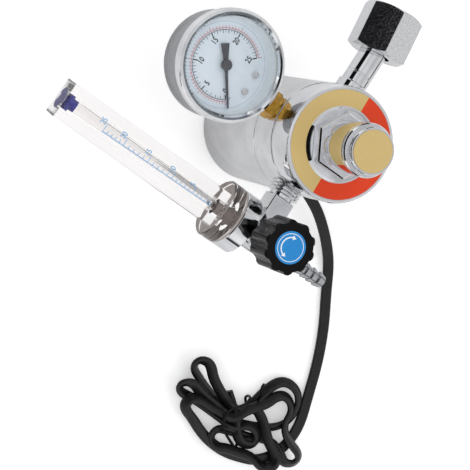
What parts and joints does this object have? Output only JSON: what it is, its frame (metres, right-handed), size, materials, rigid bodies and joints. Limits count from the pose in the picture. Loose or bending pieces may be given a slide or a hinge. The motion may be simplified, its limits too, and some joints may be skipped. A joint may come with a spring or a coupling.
{
  "type": "carbon dioxide regulator",
  "caption": "Heated gas bottle regulator with a pressure gauge, a clear flow tube with a needle valve, a hose barb and a tied heater cord",
  "frame": {"origin": "the centre of the heater housing's flat rear face, on which the regulator stands", "axes": "+Z along the body's axis to the preset cap, +X along the inlet stem to the bottle nut, +Y along the flow tube"},
  "size_m": [0.2568, 0.2775, 0.1546],
  "materials": {
    "chrome": "polished plate",
    "steel": "bright",
    "aluminium": "machined",
    "brass": "machined",
    "bronze": "plain",
    "black_rubber": "matt",
    "dark_plastic": "moulded",
    "seal_white": "plain",
    "label_red": "printed foil",
    "gold": "gold foil",
    "dial_blue": "satin",
    "black_paint": "satin",
    "clear": "clear acrylic",
    "indigo": "moulded",
    "label_blue": "printed foil",
    "cord_black": "flexible sheath"
  },
  "bodies": {
    "body": {"heater_housing": "chrome", "rear_cover": "chrome", "cover_screws": "steel", "heater_block": "aluminium", "heating_rods": "steel", "thermostat": "dark_plastic", "cord_gland": "black_rubber", "regulator_body": "chrome", "chamber_plug": "brass", "poppet_spring": "steel", "valve_seat": "seal_white", "diaphragm": "black_rubber", "bonnet": "chrome", "front_label": "label_red", "bonnet_nut": "chrome", "preset_spring": "steel", "spring_button": "steel", "adjusting_screw": "steel", "preset_cap": "chrome", "cap_disc": "gold", "inlet_stem": "chrome", "inlet_filter": "bronze", "inlet_washer": "seal_white", "gauge_fitting": "brass", "gauge_case": "chrome", "gauge_bezel": "chrome", "gauge_window": "clear", "gauge_dial": "dial_blue", "dial_ring": "dial_blue", "dial_screws": "steel", "gauge_movement": "brass", "bourdon_tube": "bronze", "outlet_stem": "chrome", "valve_body": "chrome", "barb_collar": "chrome", "flow_base": "chrome", "base_seal": "black_rubber", "flow_tube": "clear", "ball_seat": "dark_plastic", "tube_plug": "indigo", "tube_cap": "clear", "valve_neck": "dark_plastic", "hose_barb": "chrome", "cord_lead": "cord_black", "cord_hank": "cord_black", "cord_tie": "cord_black"},
    "nut": {"inlet_nut": "chrome"},
    "pointer": {"gauge_pointer": "black_paint"},
    "ball": {"metering_ball": "steel"},
    "needle": {"valve_needle": "steel"},
    "knob": {"flow_knob": "dark_plastic", "knob_label": "label_blue"},
    "poppet": {"poppet": "brass", "diaphragm_plate": "brass"}
  },
  "joints": [
    {"name": "nut_spin", "type": "hinge", "parent": "body", "child": "nut", "pos_m": [0.065, 0, 0.0885], "axis": [0.9919, 0.1271, 0], "continuous": true},
    {"name": "pointer_turn", "type": "hinge", "parent": "body", "child": "pointer", "pos_m": [0, 0.0735, 0.1], "axis": [0, 0, -1], "range_deg": [0, 262], "stiffness_Nm_per_rad": 0.0002},
    {"name": "ball_float", "type": "slide", "parent": "body", "child": "ball", "axis": [0, 1, 0], "range_m": [0, 0.09]},
    {"name": "needle_travel", "type": "slide", "parent": "body", "child": "needle", "axis": [0, 0, 1], "range_m": [0, 0.002]},
    {"name": "knob_turn", "type": "hinge", "parent": "needle", "child": "knob", "pos_m": [-0.0625, 0, 0.12], "axis": [0, 0, 1], "range_deg": [0, 720]},
    {"name": "poppet_lift", "type": "slide", "parent": "body", "child": "poppet", "axis": [0, 0, -1], "range_m": [0, 0.0008], "stiffness_N_per_m": 2000, "springref_m": -0.002, "deforming": ["diaphragm", "preset_spring", "poppet_spring"]}
  ],
  "couplings": [
    {"joint": "knob_turn", "follows": "needle_travel", "rad_per_m": 6283.2}
  ]
}
